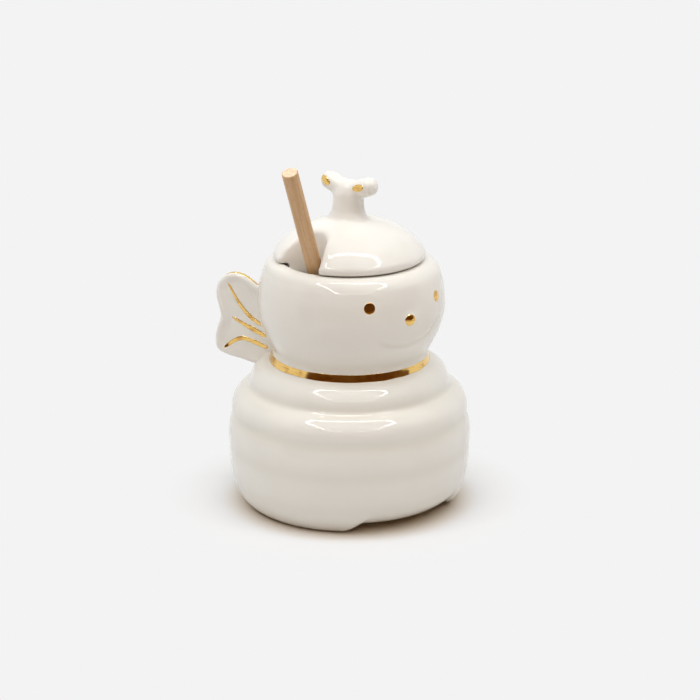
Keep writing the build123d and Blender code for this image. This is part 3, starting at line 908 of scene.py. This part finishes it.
def lidSkin():
    seat = lidShape["seat"]
    low, high = seat - 8, seat + 20
    outline = curveLine(lidShape["flangeFoot"], 2.0)[:-1] + curveLine(lidShape["outer"], 0.8)
    dome = spun(outline, lidShape["sides"])
    inside = spun(curveLine(lidShape["hollow"], 1.2), lidShape["hollowSides"])
    hollow = carved(inside, [notchCutter(seat - 14, high, lidShape["wall"], notchShape["draft"])])
    notch = notchCutter(low, high, 0.0, notchShape["draft"])
    shelf = notchCutter(low, seat - notchShape["skirt"], notchShape["shelf"], 0.0, notchShape["shelfSide"])
    bm = carved(dome, [notch, shelf, hollow])
    addKnob(bm)
    bm = fused(bm, lidShape["voxel"], lidShape["melt"])
    wearLips(bm)
    smoothed(bm, [vert for vert in bm.verts if vert.co.z > knobShape["waist"]], knobShape["wear"])
    for face in bm.faces:
        if face.calc_center_median().z > knobShape["waist"]:
            face.material_index = 1
    return bm


lidMesh = lidSkin()
lidTree = BVHTree.FromBMesh(lidMesh)
finished(lidMesh, "lid_glazed", "lid", [plainGlaze, wornGlaze],
         ["lid_front", "lid_back", "lid_flange", "antenna_knob"])

# Gold ovals on the antennae: how far along each, how far above the root, and their tilt in degrees
spotShape = {"long": 5.6, "short": 2.8, "places": {1: (6.6, 3.05, 14.0), -1: (9.4, 3.85, 28.0)}}


def spotSkin():
    whole = bmesh.new()
    look = turned(knobShape["turn"] - 90)
    for sign, (reach, rise, tilt) in spotShape["places"].items():
        along = turned(knobShape["turn"]) * sign
        lean = math.radians(tilt)
        centre = along * reach + Vector((0, 0, knobShape["root"][0] + rise)) + look * 20
        long = along * math.cos(lean) + Vector((0, 0, math.sin(lean)))
        short = Vector((0, 0, math.cos(lean))) - along * math.sin(lean)
        bm = ovalSheet(spotShape["long"] / 2, spotShape["short"] / 2)
        for vert in bm.verts:
            vert.co = centre + long * vert.co.x + short * vert.co.y
        joined(whole, gilded(bm, lidTree, -look, goldShape["strokeSink"]))
    return whole


finished(spotSkin(), "antenna_spots_gilt", "lid", [lustre], ["antenna_spots"])

# The honey dipper

dipperShape = {
    "foot": (15.3941, 10.5723, 12.1024),
    "axis": (-0.377682, -0.167366, 0.910684),
    "length": 146.0,
    "stickRadius": 3.175,
    "stickSides": 64,
    "waver": 0.006,  # share of its radius, left by the sanding
    "combRadius": 11.0,
    "combEndRadius": 7.5,
    "combLength": 36.0,
    "combShoulder": 6.0,
    "boreGap": 0.05,  # the glue round the stick
    "boreDepth": 13.9,
    "glued": 14.0,  # how much of the stick is inside the comb
    "grooves": 6,
    "groovePitch": 5.0,
    "grooveWidth": 2.4,
    "grooveDepth": 3.6,
    "grooveEdge": 0.5,  # the rounding of its lips
    "combSides": 72,
}
dipperTurn = Vector(dipperShape["axis"]).normalized().to_track_quat("Z", "Y")
beech = makeBeech("beechDowel", dipperTurn, False)
beechEnd = makeBeech("beechEndGrain", dipperTurn, True)


def stickSkin():
    radius, length = dipperShape["stickRadius"], dipperShape["length"]
    low = dipperShape["combLength"] - dipperShape["glued"]
    line = [(0.0, low), (radius * 0.5, low), (radius, low)]
    line += [(radius, low + (length - 0.5 - low) * k / 60) for k in range(1, 61)]
    line += [(radius - 0.1, length - 0.2), (radius - 0.32, length - 0.04), (radius - 0.6, length)]
    line += [(radius * share, length) for share in (0.66, 0.5, 0.33, 0.17, 0.0)]
    bm = spun(line, dipperShape["stickSides"])
    for vert in bm.verts:
        x, y, z = vert.co
        if z < length - 1:
            vert.co.xy *= 1 + dipperShape["waver"] * noise.noise(Vector((x / 2, y / 2, z / 30)))
    for face in bm.faces:
        if face.calc_center_median().z > length - 0.02:
            face.material_index = 1
    return bm


def combRadius(z):
    # the comb's outline before its grooves are turned
    wide, low, shoulder = dipperShape["combRadius"], dipperShape["combEndRadius"], dipperShape["combShoulder"]
    return low + (wide - low) * min(1.0, z / shoulder, (dipperShape["combLength"] - z) / shoulder)


def combSkin():
    shape = dipperShape
    top, low, edge = shape["combLength"], shape["combEndRadius"], shape["grooveEdge"]
    floor, half = shape["combRadius"] - shape["grooveDepth"], shape["grooveWidth"] / 2
    line = [(0.0, 0.0), (low - 2.0, 0.0), (low - 0.5, 0.5), (low + 0.5, 1.6)]
    for i in range(shape["grooves"]):
        z = top / 2 + shape["groovePitch"] * (i - (shape["grooves"] - 1) / 2)
        a, b = z - half, z + half
        ra, rb = combRadius(a - edge), combRadius(b + edge)
        line += [(ra, a - edge), (ra - 0.15, a - 0.15), (ra - edge, a), (floor + 0.5, a + 0.1),
                 (floor + 0.1, a + 0.5), (floor, z), (floor + 0.1, b - 0.5), (floor + 0.5, b - 0.1),
                 (rb - edge, b), (rb - 0.15, b + 0.15), (rb, b + edge)]
    bore, deep = shape["stickRadius"] + shape["boreGap"], top - shape["boreDepth"]
    line += [(low + 0.5, top - 1.4), (low - 0.4, top - 0.5), (low - 1.8, top)]
    line += [(bore, top), (bore, deep), (0.0, deep)]
    return spun(line, shape["combSides"])


def leaned(bm):
    # turns a piece made round Z onto the dipper's leaning axis
    place = Matrix.Translation(Vector(dipperShape["foot"])) @ dipperTurn.to_matrix().to_4x4()
    bmesh.ops.transform(bm, matrix=place, verts=bm.verts)
    return bm


finished(leaned(stickSkin()), "dipper_stick_turned", "dipper", [beech, beechEnd], ["dipper_stick"])
finished(leaned(combSkin()), "dipper_comb_turned", "dipper", [beech], ["dipper_comb"])

# Floor, light and camera, in metres

stageLook = {
    "floor": "#EDEDED",
    "paintedShadeUnderPot": "#DECDB4",  # painted warm shade on the floor close by: the pot's contact shadow and its warm bounce light, painted into the floor's colour
    # distances from the pot over which the painted shade fades into the floor's plain colour
    "paintedShadeFade": (0.036, 0.052),
    "floorEdge": (0.04, 0.08),  # where the floor goes over into the backdrop
    "floorRadius": 9.0,
    "backdrop": 0.896,
    "ambient": 0.53,
    "daylight": "#FBFDFF",
    "warmLight": "#FFFEFB",
    "card": "#90643A",
    "sideCard": "#A07C50",
}
white = (1.0, 1.0, 1.0, 1.0)


def seenRay(tree):
    # 1 where the camera, a mirror or glass looks, 0 for the light itself
    path = addNode(tree, "ShaderNodeLightPath")
    seen = path.outputs["Is Camera Ray"]
    for ray in ("Is Glossy Ray", "Is Transmission Ray"):
        either = addNode(tree, "ShaderNodeMath", {0: seen, 1: path.outputs[ray]}, operation="MAXIMUM")
        seen = either.outputs[0]
    return seen


def makeFloor():
    # a matt pale board with painted warm shade close round the pot, that goes over into plain white away from
    # the pot
    look = stageLook
    material, tree = newMaterial("paleFloor")
    place = addNode(tree, "ShaderNodeTexCoord").outputs["Object"]
    away = addNode(tree, "ShaderNodeVectorMath", {0: place}, operation="LENGTH").outputs["Value"]
    start, stop = look["floorEdge"]
    far = addNode(tree, "ShaderNodeMapRange", {
        "Value": away, "From Min": start, "From Max": stop}, interpolation_type="SMOOTHSTEP")
    share = addNode(tree, "ShaderNodeMath", {0: far.outputs[0], 1: seenRay(tree)}, operation="MULTIPLY")
    # painted shade: close round the pot the floor's colour is darkened and warmed to stand in for the pot's
    # contact shadow and warm bounce light
    start, stop = look["paintedShadeFade"]
    under = addNode(tree, "ShaderNodeMapRange", {"Value": away, "From Min": start, "From Max": stop})
    tone = addNode(tree, "ShaderNodeMix", {
        "Factor": under.outputs[0], "A": linear(look["paintedShadeUnderPot"]), "B": linear(look["floor"])},
        data_type="RGBA")
    near = addNode(tree, "ShaderNodeBsdfDiffuse", {"Color": tone.outputs["Result"], "Roughness": 1.0})
    plain = addNode(tree, "ShaderNodeEmission", {"Color": white, "Strength": look["backdrop"]})
    shader = addNode(tree, "ShaderNodeMixShader", {
        0: share.outputs[0], 1: near.outputs[0], 2: plain.outputs[0]})
    addNode(tree, "ShaderNodeOutputMaterial", {"Surface": shader.outputs[0]})
    bm = bmesh.new()
    bmesh.ops.create_circle(bm, cap_ends=True, radius=look["floorRadius"], segments=96)
    placed(bm, "floor", [material])


def makeCard(name, start, stop, first, second, colour):
    # a curved card round the pot between two places of (distance, height), seen only in what mirrors it
    material, tree = newMaterial(name)
    shader = addNode(tree, "ShaderNodeBsdfDiffuse", {"Color": linear(colour)})
    addNode(tree, "ShaderNodeOutputMaterial", {"Surface": shader.outputs[0]})
    bm = bmesh.new()
    a, b = bm.verts.new(turned(start, *first)), bm.verts.new(turned(start, *second))
    bmesh.ops.spin(bm, geom=[a, b, bm.edges.new((a, b))], cent=(0, 0, 0), axis=(0, 0, 1),
                   angle=math.radians(stop - start), steps=24)
    card = placed(bm, name, [material])
    card.visible_camera = False


def addLamp(name, place, heading, width, depth, radiance, colour):
    # a lamp that looks straight down, its width along a heading
    lamp = bpy.data.lights.new(name, "AREA")
    lamp.color = linear(colour)[:3]
    lamp.shape = "RECTANGLE"
    lamp.size, lamp.size_y = width, depth
    lamp.energy = radiance * math.pi * width * depth
    obj = bpy.data.objects.new(name, lamp)
    scene.collection.objects.link(obj)
    obj.location = place
    obj.rotation_euler = (0, 0, heading)
    return obj


shot = {
    "heading": 232.0,  # from the pot to the camera
    "elevation": 18.0,
    "distance": 1.2,
    "aim": (0.0, 0.0, 0.062),
    "lens": 154.29,
    "shift": (0.0007, 0.0021),
}
towards, sideways = turned(shot["heading"]), turned(shot["heading"] + 90)


def stagePlace(near, aside, height):
    # a place from how far it is towards the camera, to the side and up
    return towards * near + sideways * aside + Vector((0, 0, height))


makeFloor()

# Cards: their ends in degrees off the camera, their two edges, and their colour
cards = {
    "darkCard": (-64, 66, (2.4, 0.0), (2.4, 2.2), "card"),
    "darkCardLow": (-64, 66, (0.4, 0.002), (2.4, 0.002), "card"),
    "darkCardSide": (66, 92, (2.4, 0.0), (2.4, 1.2), "sideCard"),
}
for name, (start, stop, first, second, colour) in cards.items():
    makeCard(name, shot["heading"] + start, shot["heading"] + stop, first, second, stageLook[colour])

world = bpy.data.worlds.new("studio")
scene.world = world
world.use_nodes = True
tree = world.node_tree
tree.nodes.clear()
lightSky = addNode(tree, "ShaderNodeBackground", {
    "Color": linear(stageLook["daylight"]), "Strength": stageLook["ambient"]})
seenSky = addNode(tree, "ShaderNodeBackground", {"Color": white, "Strength": stageLook["backdrop"]})
mix = addNode(tree, "ShaderNodeMixShader", {0: seenRay(tree), 1: lightSky.outputs[0], 2: seenSky.outputs[0]})
addNode(tree, "ShaderNodeOutputWorld", {"Surface": mix.outputs[0]})

# Softboxes: place, width, depth, radiance, colour, and whether the glaze and the gold mirror them
softboxes = {
    "topSoftbox": ((0.0, -0.1, 1.2), 2.8, 1.8, 0.6, "daylight", False),
    "frontSoftbox": ((0.44, 0.0, 0.625), 0.68, 0.68, 0.09, "warmLight", True),
}
acrossView = math.radians(shot["heading"] + 90)
for name, (place, width, depth, radiance, colour, mirrored) in softboxes.items():
    softbox = addLamp(name, stagePlace(*place), acrossView, width, depth, radiance, stageLook[colour])
    softbox.visible_glossy = mirrored

# An eight-sided frame of lamp strips above the front of the pot, which the glaze mirrors as a bright outline
stripFrame = {
    "height": 0.62,
    "thick": 0.027,
    "radiance": 17.5,
    "corners": [
        (0.90, -0.27), (0.90, 0.28), (0.66, 0.38), (0.20, 0.38),
        (0.055, 0.24), (0.055, -0.22), (0.20, -0.345), (0.66, -0.345),
    ],
}
corners = [stagePlace(near, aside, stripFrame["height"]) for near, aside in stripFrame["corners"]]
for i, (a, b) in enumerate(zip(corners, corners[1:] + corners[:1])):
    run = b - a
    addLamp("strip" + str(i), (a + b) / 2, math.atan2(run.y, run.x), run.length, stripFrame["thick"],
            stripFrame["radiance"], stageLook["warmLight"])

camera = bpy.data.objects.new("camera", bpy.data.cameras.new("camera"))
scene.collection.objects.link(camera)
scene.camera = camera
elevation = math.radians(shot["elevation"])
back = turned(shot["heading"], math.cos(elevation), math.sin(elevation))
camera.location = Vector(shot["aim"]) + back * shot["distance"]
camera.rotation_euler = back.to_track_quat("Z", "Y").to_euler()
camera.data.lens = shot["lens"]
camera.data.sensor_width = 36.0
camera.data.shift_x, camera.data.shift_y = shot["shift"]
camera.data.clip_start = 0.01
camera.data.clip_end = 50.0
scene.view_settings.view_transform = "Standard"
print("stage set")
